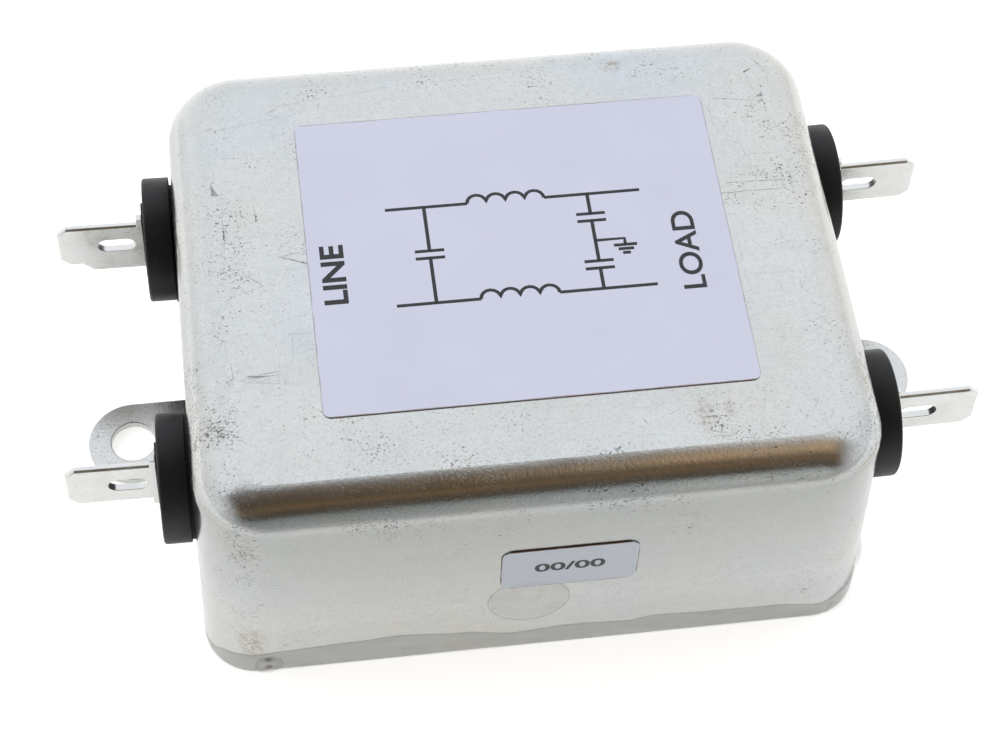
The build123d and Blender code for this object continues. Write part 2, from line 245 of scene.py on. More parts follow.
def soft_light(name, place, aim, side, power, tint=(1, 1, 1)):
    """A square softbox that faces the point aim. Its side is in metres, its power in watts."""
    data = bpy.data.lights.new(name, "AREA")
    data.size = side
    data.energy = power
    data.color = tint
    light = bpy.data.objects.new(name, data)
    light.location = place
    light.visible_glossy = False
    light.rotation_euler = (Vector(aim) - Vector(place)).to_track_quat("-Z", "Y").to_euler()
    bpy.context.scene.collection.objects.link(light)
    return light


soft_light("softbox_back", (-0.15, 0.55, 0.42), (0, 0, 0.02), 0.5, 0.6, (0.97, 0.98, 1.0))
soft_light("softbox_left", (-0.6, -0.15, 0.35), (0, 0, 0.02), 0.4, 0.5)

floor_grid = bmesh.new()
bmesh.ops.create_grid(floor_grid, x_segments=1, y_segments=1, size=3.0)
bmesh.ops.translate(floor_grid, vec=(0, 0, -0.00005), verts=floor_grid.verts)
floor_mesh = bpy.data.meshes.new("table")
floor_grid.to_mesh(floor_mesh)
floor_grid.free()
table = bpy.data.objects.new("table", floor_mesh)
bpy.context.scene.collection.objects.link(table)

white_table, tree, shader = new_finish("white_table")
split = tree.nodes.new("ShaderNodeSeparateXYZ")
tree.links.new(object_place(tree), split.inputs["Vector"])
# Painted light on the table: near the can it glows to wash out the shadows, and further out in front it is
# painted darker and glows less, a painted dim strip that the walls mirror
painted_light_pool = remap(tree, split.outputs["Y"], -0.22, -0.09)
table_painted_light = blend_colours(tree, painted_light_pool, (0.52, 0.525, 0.515), (0.82, 0.82, 0.82))
tree.links.new(table_painted_light, shader.inputs["Base Color"])
tree.links.new(remap(tree, painted_light_pool, 0, 1, 0.2, 0.68), shader.inputs["Emission Strength"])
shader.inputs["Roughness"].default_value = 0.9
shader.inputs["Specular IOR Level"].default_value = 0.1
shader.inputs["Emission Color"].default_value = (1, 1, 0.99, 1)
table.data.materials.append(white_table)
bpy.context.scene.view_settings.view_transform = "Standard"
print("table", round(table.dimensions.x, 2), "m wide")

# %% [markdown]
# ## From a bmesh to a finished piece
# A piece is shaped in a bmesh, a bare mesh in memory. Turning it into an object is the same few steps
# each time: merge doubled points, point the faces outwards, shade them smooth but keep hard edges hard,
# and tell the frame which body it rides on and whose finish it takes.

# %% Helper that finishes a piece
def hard_edges(shape, angle=35):
    """Shades all faces smooth and marks the edges that turn by more than angle degrees as sharp."""
    for face in shape.faces:
        face.smooth = True
    for edge in shape.edges:
        turn = edge.calc_face_angle(None)
        edge.smooth = turn is not None and turn < math.radians(angle)


def make_piece(shape, name, finish, replaced=(), outwards=True):
    """Makes an object of a bmesh, in place, and lets it ride on the filter."""
    bmesh.ops.remove_doubles(shape, verts=shape.verts, dist=merge_distance)
    if outwards:
        bmesh.ops.recalc_face_normals(shape, faces=shape.faces)
    hard_edges(shape)
    mesh = bpy.data.meshes.new(name)
    shape.to_mesh(mesh)
    shape.free()
    piece = bpy.data.objects.new(name, mesh)
    bpy.context.scene.collection.objects.link(piece)
    mesh.materials.append(finish)
    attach(piece, "root")
    if replaced:
        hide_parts(*replaced)
    print(name, len(mesh.polygons), "faces")
    return piece


def cut_both_sides(shape, half_width):
    """Cuts a shape along two upright planes, half_width to each side of its middle."""
    for side in (1, -1):
        bmesh.ops.bisect_plane(shape, geom=shape.verts[:] + shape.edges[:] + shape.faces[:],
                               dist=cut_tolerance, plane_co=(0, side * half_width, 0), plane_no=(0, 1, 0))


def soften(piece, width, segments=2, angle=30):
    """Rounds a piece's hard edges with a live Bevel, width in metres."""
    bevel = piece.modifiers.new("soft_edges", "BEVEL")
    bevel.width = width
    bevel.segments = segments
    bevel.limit_method = "ANGLE"
    bevel.angle_limit = math.radians(angle)
    bevel.harden_normals = True


# %% [markdown]
# ## The tinned steel
# The can and its base are tin-plated steel. Handling has left it cloudy rather than mirror bright,
# with warm and cool patches, hairline scratches and small dark pits where the tin is gone.
# The pits crowd where the sheet was bent hardest, so the can's mesh carries a value named rub,
# high on its edges and corners, and the pits and the polish both follow it.

# %% Finish of the tinned steel
def tinned_steel(name, reads_rub, spots, stains, warm=(0.555, 0.54, 0.49), cool=(0.49, 0.53, 0.56)):
    finish, tree, shader = new_finish(name)
    place = object_place(tree)
    drawn = object_place(tree, stretch=(0.10, 0.10, 1.0))
    if reads_rub:
        attribute = tree.nodes.new("ShaderNodeAttribute")
        attribute.attribute_name = "rub"
        rub = attribute.outputs["Fac"]
    else:
        rub = remap(tree, speckle(tree, place, 0.02), 0.3, 0.8, 0.2, 0.6)
    clouds = remap(tree, speckle(tree, place, 0.021, 6, 0.55), 0.25, 0.75)
    bands = remap(tree, speckle(tree, drawn, 0.0016, 3, 0.6), 0.2, 0.8)
    tone = blend_colours(tree, clouds, warm, cool)
    tone = blend_colours(tree, remap(tree, bands, 0, 1, 0.0, 0.35), tone, (0.62, 0.62, 0.61))
    mottle = remap(tree, speckle(tree, place, 0.0013, 6, 0.72), 0.3, 0.7, 0.0, 0.24)
    tone = blend_colours(tree, mottle, tone, (0.36, 0.365, 0.35))
    # Painted shade: the walls are coloured darker upwards, up to just under the rounded edge
    split = tree.nodes.new("ShaderNodeSeparateXYZ")
    tree.links.new(place, split.inputs["Vector"])
    shade_rise = remap(tree, split.outputs["Z"], 10 * mm, 26.3 * mm, 0.0, 0.66)
    painted_shade_under_edge = calculate(tree, "MULTIPLY", shade_rise, remap(tree, split.outputs["Z"], 28.4 * mm, 26.8 * mm))
    tone = blend_colours(tree, painted_shade_under_edge, tone, (0.27, 0.285, 0.27))
    for spot, reach, stretch in stains:
        blot = calculate(tree, "MULTIPLY", near_spot(tree, place, spot, reach, 1.6, stretch),
                         remap(tree, speckle(tree, place, 0.0005, 4, 0.7), 0.42, 0.6))
        tone = blend_colours(tree, calculate(tree, "MULTIPLY", blot, 0.7), tone, (0.31, 0.27, 0.22))
    # Pits: the tips of a fine noise, kept only where a coarser noise gathers them
    grains = speckle(tree, object_place(tree, stretch=(0.55, 0.75, 1.0)), 0.00028, 3, 0.6)
    gathered = speckle(tree, place, 0.0065, 4, 0.7)
    for spot, reach, weight in spots:
        gathered = calculate(tree, "ADD", gathered, near_spot(tree, place, spot, reach, weight))
    limit = calculate(tree, "MULTIPLY_ADD", gathered, -0.50, 0.985)
    limit = calculate(tree, "MULTIPLY_ADD", rub, -0.075, limit)
    pits = remap(tree, grains, limit, calculate(tree, "ADD", limit, 0.06))
    fine_grains = speckle(tree, object_place(tree, (0.45, 0.6, 1.0), shift=(3, 1, 2)), 0.00015, 3, 0.6)
    fine_limit = calculate(tree, "SUBTRACT", limit, 0.035)
    fine_pits = remap(tree, fine_grains, fine_limit, calculate(tree, "ADD", fine_limit, 0.08))
    pits = calculate(tree, "MAXIMUM", pits, calculate(tree, "MULTIPLY", fine_pits, 0.8))
    dust = remap(tree, speckle(tree, place, 0.00026, 2, 0.6), 0.5, 0.75)
    tone = blend_colours(tree, calculate(tree, "MULTIPLY", dust, 0.4), tone, (0.33, 0.325, 0.31))
    # Hairlines: noise pulled out along one direction, turned two ways
    hairs = []
    for turn, seed in ((0.5, 0.0), (-0.9, 0.4)):
        drawn_place = object_place(tree, (1.0, 0.05, 1.0), (0, 0, turn), (seed, 0, 0))
        lines = speckle(tree, drawn_place, 0.0003, 1, 0.5)
        patches = speckle(tree, object_place(tree, shift=(seed, seed, 0)), 0.009, 2)
        thin = remap(tree, lines, 0.68, 0.74)
        hairs.append(calculate(tree, "MULTIPLY", thin, remap(tree, patches, 0.5, 0.62)))
    scratches = calculate(tree, "MAXIMUM", *hairs)
    tone = blend_colours(tree, calculate(tree, "MULTIPLY", scratches, 0.28), tone, (0.45, 0.44, 0.42))
    tone = blend_colours(tree, calculate(tree, "MULTIPLY", pits, 0.85), tone, (0.10, 0.095, 0.085))
    tree.links.new(tone, shader.inputs["Base Color"])
    shader.inputs["Metallic"].default_value = 1.0
    smear = remap(tree, speckle(tree, place, 0.007, 5, 0.6), 0.2, 0.8, 0.17, 0.28)
    polish = calculate(tree, "MULTIPLY_ADD", rub, -0.05, smear)
    tree.links.new(calculate(tree, "MULTIPLY_ADD", pits, 0.08, polish), shader.inputs["Roughness"])
    orange_peel = speckle(tree, place, 0.00038, 3, 0.6)
    height = calculate(tree, "MULTIPLY_ADD", pits, -0.8, orange_peel)
    roughen(tree, shader, calculate(tree, "MULTIPLY_ADD", bands, 0.3, height), 0.000024, 0.55)
    return finish


knocks = [((-30.5, -18.2, 30), 3.2, 0.16), ((-8.6, -20.3, 30), 4.5, 0.10), ((16.5, -21.0, 30), 2.4, 0.16),
          ((33.0, -22.5, 27), 4.0, 0.16), ((28.0, -29.0, 5), 3.0, 0.10), ((-31.0, -28.5, 3), 2.2, 0.16),
          ((-31.0, -28.5, 7.5), 2.0, 0.14), ((-29.5, -28.5, 22), 4.0, 0.12), ((-29.0, 8.0, 30), 7.0, 0.08),
          ((27.5, 10.0, 30), 7.0, 0.07), ((12.5, -28.8, 20.5), 2.5, 0.10)]
brown_stains = [((16.2, -20.9, 30), 2.4, (2.2, 1, 1)), ((18.6, -20.2, 30), 1.6, (2.6, 1, 1)),
                ((13.6, 24.0, 30), 1.8, (1, 1.6, 1)), ((-33.0, -14.0, 27), 2.0, (1, 1, 1)),
                ((33.2, -17.5, 28.5), 2.4, (1.4, 0.8, 1)), ((-30.0, -29.0, 6.0), 2.6, (1.3, 1, 0.6))]
can_steel = tinned_steel("can_steel", True, knocks, brown_stains)
plate_steel = tinned_steel("plate_steel", False, [], [], (0.58, 0.57, 0.54), (0.55, 0.565, 0.57))
print("steel finish uses", len(can_steel.node_tree.nodes), "nodes")

# %% [markdown]
# ## The drawn can
# Deep drawing leaves a can whose walls lean in a little and whose corners grow rounder upwards.
# A cube with bevelled edges has one radius for a whole corner, so the can is stacked from rings instead.
# Each ring is a rectangle whose corners are bevelled by the radius that the can has at that height.
# The rings are bridged one to the next, and the last is closed with a face under the label.

# %% Shape of the can at a height
foot_half_length, foot_half_width = 34.9 * mm, 29.0 * mm
can_height = 30.0 * mm
wall_draft = 0.7 * mm
foot_corner, top_corner = 5.6 * mm, 7.9 * mm
edge_round = 4.2 * mm
sheet = 0.6 * mm
shoulder = can_height - edge_round
notch_top = 1.15 * mm


def can_at(height):
    """Half length, half width and corner radius of the can's walls at a height."""
    share = height / can_height
    lean = wall_draft * share
    return foot_half_length - lean, foot_half_width - lean, foot_corner + (top_corner - foot_corner) * share


def ring(shape, half_length, half_width, radius, height, steps=10, long_cuts=34, short_cuts=28):
    """A closed loop of edges round a rectangle with rounded corners, at one height."""
    before = set(shape.edges)
    corners = bmesh.ops.create_grid(shape, x_segments=1, y_segments=1, size=1.0)["verts"]
    bmesh.ops.scale(shape, vec=(half_length, half_width, 1), verts=corners)
    bmesh.ops.translate(shape, vec=(0, 0, height), verts=corners)
    rounded = bmesh.ops.bevel(shape, geom=corners, affect="VERTICES", offset=radius, segments=steps,
                              profile=0.5, material=-1)["verts"]
    bmesh.ops.delete(shape, geom=list({f for v in rounded for f in v.link_faces}), context="FACES_ONLY")
    straights = sorted({e for v in rounded for e in v.link_edges}, key=lambda edge: -edge.calc_length())[:4]
    bmesh.ops.subdivide_edges(shape, edges=straights[:2], cuts=long_cuts)
    bmesh.ops.subdivide_edges(shape, edges=straights[2:], cuts=short_cuts)
    return [edge for edge in shape.edges if edge not in before]


# %% Stack and bridge the rings
can_shape = bmesh.new()
rings = []
wall_heights = [0.0, notch_top] + [notch_top + (shoulder - notch_top) * step / 16 for step in range(1, 17)]
for height in wall_heights:
    rings.append(ring(can_shape, *can_at(height), height))
half_length, half_width, radius = can_at(shoulder)
round_steps = 12
for step in range(1, round_steps + 1):
    angle = math.pi / 2 * step / round_steps
    inset = edge_round * (1 - math.cos(angle))
    rings.append(ring(can_shape, half_length - inset, half_width - inset, radius - inset,
                      shoulder + edge_round * math.sin(angle)))
for lower, upper in zip(rings, rings[1:]):
    bmesh.ops.bridge_loops(can_shape, edges=lower + upper)
lid = bmesh.ops.contextual_create(can_shape, geom=rings[-1])["faces"]
for shrink in (0.97, 0.95, 0.93, 0.90, 0.86, 0.80, 0.70, 0.5):
    grown = bmesh.ops.extrude_face_region(can_shape, geom=lid)["geom"]
    lid = [g for g in grown if isinstance(g, bmesh.types.BMFace)]
    bmesh.ops.scale(can_shape, vec=(shrink, shrink, 1), verts=lid[0].verts)
print("can has", len(rings), "rings of", len(rings[0]), "edges")

# %% [markdown]
# A drawn sheet is never quite true. Each point is moved inwards by a few hundredths of a millimetre,
# by a smooth noise that is the same in every run, so that reflections waver as they do on the real can.
# The notches that let the ears out are cut with two planes, and the value named rub is stored.

# %% Waver, notches and rub
ear_half_width = 4.9 * mm
notch_half = ear_half_width + 0.15 * mm
bmesh.ops.recalc_face_normals(can_shape, faces=can_shape.faces)
cut_both_sides(can_shape, notch_half)
notch_faces = [f for f in can_shape.faces
               if abs(f.calc_center_median().x) > 30 * mm and abs(f.calc_center_median().y) < notch_half
               and f.calc_center_median().z < notch_top]
bmesh.ops.delete(can_shape, geom=notch_faces, context="FACES")
rub_layer = can_shape.verts.layers.float.new("rub")
can_shape.normal_update()
for vert in can_shape.verts:
    x, y, z = vert.co
    half_length, half_width, radius = can_at(min(z, shoulder))
    beyond_x, beyond_y = abs(x) - (half_length - radius), abs(y) - (half_width - radius)
    in_corner = max(min(beyond_x, beyond_y) / radius, 0)
    near_edge = max(1 - abs(z - (can_height - 0.3 * edge_round)) / (2.2 * edge_round), 0)
    if z > can_height - 0.02 * mm:
        near_edge = max(1 - (min(half_length - abs(x), half_width - abs(y)) - edge_round) / (5 * mm), 0) * 0.8
    near_foot = max(1 - z / (3 * mm), 0)
    vert[rub_layer] = min(0.9 * near_edge + 0.9 * in_corner + 0.6 * near_foot, 1.0)
    waver = noise.noise(vert.co / (14 * mm)) + 0.5 * noise.noise(vert.co / (6 * mm))
    vert.co -= vert.normal * (0.022 * waver + 0.03) * mm
can_skin = make_piece(can_shape, "can_skin", can_steel, ["can"])
wall = can_skin.modifiers.new("sheet", "SOLIDIFY")
wall.thickness = sheet
wall.offset = -1
soften(can_skin, 0.12 * mm)

# %% [markdown]
# ## The base plate and its ears
# The base is one stamping: a plate that fills the can's mouth, with a round-ended ear at each end.
# It starts as one rectangle. Bevelled corners give the plate, two cuts mark the ears' width,
# and the strip between the cuts is drawn out and rounded by a bevel as wide as half the ear.
# The holes are circles filled in together with the ear's outline. Solidify gives the thickness.

# %% Stamp the base plate
plate_thickness = 1.0 * mm
hole_spacing, hole_radius = 82.6 * mm, 2.4 * mm
plate_half_length, plate_half_width, plate_corner = 34.08 * mm, 28.18 * mm, 5.0 * mm

plate_shape = bmesh.new()
corners = bmesh.ops.create_grid(plate_shape, x_segments=1, y_segments=1, size=1.0)["verts"]
bmesh.ops.scale(plate_shape, vec=(plate_half_length, plate_half_width, 1), verts=corners)
bmesh.ops.bevel(plate_shape, geom=corners, affect="VERTICES", offset=plate_corner, segments=8,
                profile=0.5, material=-1)
cut_both_sides(plate_shape, ear_half_width)
for end in (1, -1):
    root = [e for e in plate_shape.edges
            if all(abs(v.co.x - end * plate_half_length) < 0.01 * mm for v in e.verts)
            and all(abs(v.co.y) < ear_half_width + 0.01 * mm for v in e.verts)]
    drawn_out = bmesh.ops.extrude_edge_only(plate_shape, edges=root)["geom"]
    tips = [v for v in drawn_out if isinstance(v, bmesh.types.BMVert)]
    ear_reach = hole_spacing / 2 + ear_half_width - plate_half_length
    bmesh.ops.translate(plate_shape, vec=(end * ear_reach, 0, 0), verts=tips)
    bmesh.ops.bevel(plate_shape, geom=tips, affect="VERTICES", offset=ear_half_width * 0.9999, segments=14,
                    profile=0.5, material=-1)
    ear = [f for f in plate_shape.faces if abs(f.calc_center_median().x) > plate_half_length
           and f.calc_center_median().x * end > 0][0]
    outline = list(ear.edges)
    bmesh.ops.delete(plate_shape, geom=[ear], context="FACES_ONLY")
    hole = bmesh.ops.create_circle(plate_shape, cap_ends=False, segments=40, radius=hole_radius)["verts"]
    bmesh.ops.translate(plate_shape, vec=(end * hole_spacing / 2, 0, 0), verts=hole)
    hole_edges = list({e for v in hole for e in v.link_edges})
    bmesh.ops.triangle_fill(plate_shape, use_beauty=True, edges=outline + hole_edges)
bmesh.ops.recalc_face_normals(plate_shape, faces=plate_shape.faces)
for face in plate_shape.faces:
    if face.normal.z > 0:
        face.normal_flip()
base = make_piece(plate_shape, "base_skin", plate_steel, ["base_plate"], outwards=False)
thickness = base.modifiers.new("thickness", "SOLIDIFY")
thickness.thickness = plate_thickness
thickness.offset = -1
soften(base, 0.14 * mm)

# %% [markdown]
# ## Where the terminals sit
# The four terminals stand square to the leaning end walls, so a seat is a matrix:
# its Z axis points out of the wall, its X axis runs up the wall. A piece is modelled flat at the origin
# and then carried to its seat, which is easier than modelling it tilted.

# %% Seats of the terminals
terminal_height, terminal_y = 17.5 * mm, 15.0 * mm
lean = math.atan2(wall_draft, can_height)
places = {"line_rear": (-1, 1), "line_front": (-1, -1), "load_rear": (1, 1), "load_front": (1, -1)}


def seat(end, side):
    """Carries a piece from the origin to its place on an end wall."""
    outwards = Vector((end * math.cos(lean), 0, math.sin(lean)))
    up_wall = Vector((-end * math.sin(lean), 0, math.cos(lean)))
    sideways = outwards.cross(up_wall)
    foot = Vector((end * can_at(terminal_height)[0], side * terminal_y, terminal_height))
    return Matrix.Translation(foot) @ Matrix((up_wall, sideways, outwards)).transposed().to_4x4()


print("terminals lean by", round(math.degrees(lean), 2), "degrees")

# %% [markdown]
# ## The black mouldings
# Each insulator is a thick disc of black moulding with a rounded outer rim and a raised pad round the tab.
# The moulding is not quite black: it is satin, with a fine grain and a few pale dust marks.

# %% Finish of the mouldings
def satin_black(name, tint, roughness_low, roughness_high):
    finish, tree, shader = new_finish(name)
    place = object_place(tree)
    worn = remap(tree, speckle(tree, place, 0.004, 4), 0.3, 0.7)
    tone = blend_colours(tree, worn, tint, tuple(1.6 * c for c in tint))
    dust = remap(tree, speckle(tree, place, 0.00035, 2), 0.74, 0.80)
    tree.links.new(blend_colours(tree, calculate(tree, "MULTIPLY", dust, 0.35), tone, (0.25, 0.25, 0.25)),
                   shader.inputs["Base Color"])
    shader.inputs["Specular IOR Level"].default_value = 0.3
    tree.links.new(remap(tree, worn, 0, 1, roughness_low, roughness_high), shader.inputs["Roughness"])
    roughen(tree, shader, speckle(tree, place, 0.0003, 3), 0.00001, 0.5)
    return finish


moulding = satin_black("moulding", (0.006, 0.006, 0.007), 0.42, 0.55)
rubber = satin_black("rubber", (0.006, 0.006, 0.006), 0.6, 0.8)

# %% [markdown]
# A disc could be a cylinder with a bevel, and here it is just that: a circle is capped,
# the cap is extruded, and both rims are bevelled. The pad and the square neck are boxes
# that sink into the disc, as they are one moulding with it.

# %% Model the insulators
insulator_radius, insulator_thickness = 6.65 * mm, 2.85 * mm
gasket_thickness = 0.35 * mm
pad_size = (9.2 * mm, 3.2 * mm, 0.25 * mm)
neck_side, neck_depth = 6.4 * mm, 1.6 * mm


def box(shape, size, centre, round_off=0.0):
    """A box with rounded edges, added to a bmesh."""
    made = bmesh.ops.create_cube(shape, size=1.0)["verts"]
    bmesh.ops.scale(shape, vec=size, verts=made)
    bmesh.ops.translate(shape, vec=centre, verts=made)
    if round_off:
        edges = list({e for v in made for e in v.link_edges})
        bmesh.ops.bevel(shape, geom=edges, affect="EDGES", offset=round_off, segments=2,
                        profile=0.5, material=-1)


for name, (end, side) in places.items():
    shape = bmesh.new()
    disc = bmesh.ops.create_circle(shape, cap_ends=True, segments=72, radius=insulator_radius)
    cap = list({f for v in disc["verts"] for f in v.link_faces})
    risen = bmesh.ops.extrude_face_region(shape, geom=cap, use_keep_orig=True)["geom"]
    top = [v for v in risen if isinstance(v, bmesh.types.BMVert)]
    bmesh.ops.translate(shape, vec=(0, 0, insulator_thickness), verts=top)
    for height, width, steps in ((insulator_thickness, 0.28 * mm, 3), (0.0, 0.10 * mm, 2)):
        rim = [e for e in shape.edges if all(abs(v.co.z - height) < cut_tolerance for v in e.verts)]
        bmesh.ops.bevel(shape, geom=rim, affect="EDGES", offset=width, segments=steps,
                        profile=0.5, material=-1)
    bmesh.ops.recalc_face_normals(shape, faces=shape.faces)
    box(shape, (pad_size[0], pad_size[1], 2 * pad_size[2]), (0, 0, insulator_thickness), 0.08 * mm)
    box(shape, (neck_side, neck_side, neck_depth), (0, 0, 0.05 * mm - gasket_thickness - neck_depth / 2))
    shape.transform(seat(end, side) @ Matrix.Translation((0, 0, gasket_thickness)))
    make_piece(shape, f"moulding_{name}", moulding, [f"insulator_{name}"])

# %% [markdown]
# ## The tab terminals
# The tabs are stamped from tinned brass with sharp chamfers, so their CAD solids are nearly right.
# A copy is merged into whole faces and its edges are broken by a live Bevel,
# because the thin bright lines along a real tab's edges come from that small rounding.

# %% Finish of the tabs
def tinned_brass(name):
    finish, tree, shader = new_finish(name)
    place = object_place(tree)
    clouds = remap(tree, speckle(tree, place, 0.003, 4), 0.35, 0.65)
    tone = blend_colours(tree, clouds, (0.60, 0.60, 0.575), (0.67, 0.68, 0.675))
    marks = remap(tree, speckle(tree, object_place(tree, (0.3, 1, 1)), 0.0003, 2), 0.68, 0.76)
    tree.links.new(blend_colours(tree, calculate(tree, "MULTIPLY", marks, 0.6), tone, (0.25, 0.24, 0.22)),
                   shader.inputs["Base Color"])
    shader.inputs["Metallic"].default_value = 1.0
    tree.links.new(remap(tree, clouds, 0, 1, 0.22, 0.36), shader.inputs["Roughness"])
    roughen(tree, shader, speckle(tree, place, 0.0006, 3), 0.00002, 0.4)
    return finish


tab_metal = tinned_brass("tab_metal")


def softened_copy(node, name, finish, width):
    """A copy of a CAD node with its triangles merged into whole faces and its edges broken."""
    shape = bmesh.new()
    shape.from_mesh(nodes[node].data)
    bmesh.ops.remove_doubles(shape, verts=shape.verts, dist=merge_distance)
    bmesh.ops.dissolve_limit(shape, angle_limit=math.radians(1), verts=shape.verts, edges=shape.edges)
    piece = make_piece(shape, name, finish, [node], outwards=False)
    soften(piece, width)
    return piece


for name in places:
    softened_copy(f"tab_{name}", f"blade_{name}", tab_metal, 0.07 * mm)

# %% [markdown]
# ## The labels
# The top label is a pale lavender film. Dirt has settled along its edge as a thin dark line.
# The line is worked out in the material: how far a point is from the edge of a rectangle,
# which needs only the point's own coordinates.

# %% Finish of the label film
def label_film(name, tint, centre, half_sizes, axes, edge_tone):
    """Film finish with a thin line along the label's edge. Axes are the two that the label spans."""
    finish, tree, shader = new_finish(name)
    place = object_place(tree)
    split = tree.nodes.new("ShaderNodeSeparateXYZ")
    tree.links.new(place, split.inputs["Vector"])
    inner = []
    for axis, middle, half in zip(axes, centre, half_sizes):
        away = calculate(tree, "ABSOLUTE", calculate(tree, "SUBTRACT", split.outputs[axis], middle))
        inner.append(calculate(tree, "SUBTRACT", half, away))
    from_edge = calculate(tree, "MINIMUM", *inner)
    wander = calculate(tree, "MULTIPLY", speckle(tree, place, 0.002, 3), 0.00022)
    line = remap(tree, calculate(tree, "ADD", from_edge, wander), 0.00022, 0.00014)
    cloudy = speckle(tree, place, 0.008, 4)
    tone = blend_colours(tree, remap(tree, cloudy, 0.3, 0.7), tint, tuple(0.965 * c for c in tint))
    smudge = remap(tree, speckle(tree, place, 0.0007, 3), 0.70, 0.78)
    tone = blend_colours(tree, calculate(tree, "MULTIPLY", smudge, 0.2), tone, (0.45, 0.42, 0.40))
    tree.links.new(blend_colours(tree, line, tone, edge_tone), shader.inputs["Base Color"])
    shader.inputs["Specular IOR Level"].default_value = 0.35
    tree.links.new(remap(tree, cloudy, 0.3, 0.7, 0.42, 0.55), shader.inputs["Roughness"])
    roughen(tree, shader, speckle(tree, place, 0.0012, 2), 0.000006, 0.4)
    return finish


label_thickness = 0.12 * mm
small_length, small_height, small_corner = 13.9 * mm, 7.1 * mm, 1.2 * mm
small_x, small_z = 2.4 * mm, 16.4 * mm
rating_film = label_film("rating_film", (0.71, 0.745, 0.90), (0.75 * mm, 0.8 * mm), (21.7 * mm, 18.15 * mm),
                         ("X", "Y"), (0.42, 0.38, 0.40))
date_film = label_film("date_film", (0.52, 0.56, 0.63), (small_x, small_z),
                       (small_length / 2, small_height / 2), ("X", "Z"), (0.16, 0.10, 0.07))

# %% [markdown]
# The small label's corners are well rounded. It is a flat box whose four short edges are bevelled,
# stood up and leaned against the wall.

# %% Cut the small label
small_label = bmesh.new()
corners = bmesh.ops.create_cube(small_label, size=1.0)["verts"]
bmesh.ops.scale(small_label, vec=(small_length, small_height, label_thickness), verts=corners)
short_edges = [e for e in small_label.edges if abs(e.verts[0].co.z - e.verts[1].co.z) > 0.1 * mm]
bmesh.ops.bevel(small_label, geom=short_edges, affect="EDGES", offset=small_corner, segments=6,
                profile=0.5, material=-1)
wall_turn = Matrix.Rotation(math.pi / 2 - lean, 4, "X")
label_middle = Vector((small_x, -can_at(small_z)[1] - label_thickness / 2, small_z))
small_label.transform(Matrix.Translation(label_middle) @ wall_turn)
make_piece(small_label, "date_film", date_film, ["date_label"])

# %% [markdown]
# The print is generic: the two words that tell the supply end from the load end, the plain circuit symbol
# of any such filter, and a date of noughts.
# Words are made as text, turned into a mesh, laid flat and only then put in place.

# %% Finish of the print
ink, tree, shader = new_finish("ink")
worn_ink = remap(tree, speckle(tree, object_place(tree), 0.0006, 3), 0.35, 0.65)
ink_tone = blend_colours(tree, worn_ink, (0.012, 0.012, 0.016), (0.03, 0.03, 0.036))
tree.links.new(ink_tone, shader.inputs["Base Color"])
tree.links.new(remap(tree, worn_ink, 0, 1, 0.45, 0.6), shader.inputs["Roughness"])

# %% Print on the labels
print_proud = 0.01 * mm
top_of_label = can_height + label_thickness


def as_flat_piece(curve, name, place):
    """Turns a text or curve into a mesh, moves the mesh to its place and rides it on the filter."""
    carrier = bpy.data.objects.new(name, curve)
    bpy.context.scene.collection.objects.link(carrier)
    bpy.context.view_layer.update()
    shape = bmesh.new()
    shape.from_mesh(bpy.data.meshes.new_from_object(carrier))
    bpy.data.objects.remove(carrier)
    shape.transform(place)
    return make_piece(shape, name, ink, outwards=False)


def word(text, name, size, place, heavy=0.0):
    """A printed word, its middle at the origin before it is placed."""
    curve = bpy.data.curves.new(name, "FONT")
    curve.body = text
    curve.size = size
    curve.offset = heavy
    curve.align_x = "CENTER"
    curve.align_y = "CENTER"
    curve.extrude = print_proud
    return as_flat_piece(curve, name, place)


letter_shape = Matrix.Rotation(math.pi / 2, 4, "Z") @ Matrix.Diagonal((1.12, 1, 1, 1))
line_place = Matrix.Translation((-18.3 * mm, -0.6 * mm, top_of_label)) @ letter_shape
load_place = Matrix.Translation((17.9 * mm, -1.1 * mm, top_of_label)) @ letter_shape
word("LINE", "print_line", 3.3 * mm, line_place, 0.09 * mm)
word("LOAD", "print_load", 3.3 * mm, load_place, 0.05 * mm)
label_front = Vector((small_x, -can_at(small_z)[1] - label_thickness, small_z))
date_place = Matrix.Translation(label_front) @ wall_turn @ Matrix.Diagonal((1.5, 1, 1, 1))
word("00/00", "print_date", 2.1 * mm, date_place, 0.05 * mm)

# %% Draw the circuit symbol
def stroke(curve, points):
    """One run of the symbol, its points in millimetres on the label."""
    spline = curve.splines.new("POLY")
    spline.points.add(len(points) - 1)
    for point, (x, y) in zip(spline.points, points):
        point.co = (x * mm, y * mm, 0, 1)


def humps(start, level, count, width):
    """A row of half rounds, the symbol of a coil."""
    points = []
    for hump in range(count):
        centre = start + width * (hump + 0.5)
        for step in range(9):
            angle = math.pi * step / 8
            points.append((centre - width / 2 * math.cos(angle), level + width / 2 * math.sin(angle)))
    return points


symbol = bpy.data.curves.new("print_symbol", "CURVE")
symbol.dimensions = "3D"
line_half = 0.19 * mm
symbol.bevel_depth = line_half
symbol.bevel_resolution = 1
for level in (7.0, -5.0):
    stroke(symbol, [(-12.5, level), (-4.0, level)])
    stroke(symbol, humps(-4.0, level, 4, 2.0))
    stroke(symbol, [(4.0, level), (14.0, level)])
for x, top_level, bottom_level in ((-8.5, 7.0, -5.0), (8.5, 7.0, 1.0), (8.5, 1.0, -5.0)):
    middle = (top_level + bottom_level) / 2
    stroke(symbol, [(x, top_level), (x, middle + 0.45)])
    stroke(symbol, [(x - 1.5, middle + 0.45), (x + 1.5, middle + 0.45)])
    stroke(symbol, [(x - 1.5, middle - 0.45), (x + 1.5, middle - 0.45)])
    stroke(symbol, [(x, middle - 0.45), (x, bottom_level)])
stroke(symbol, [(8.5, 1.0), (11.5, 1.0), (11.5, 0.2)])
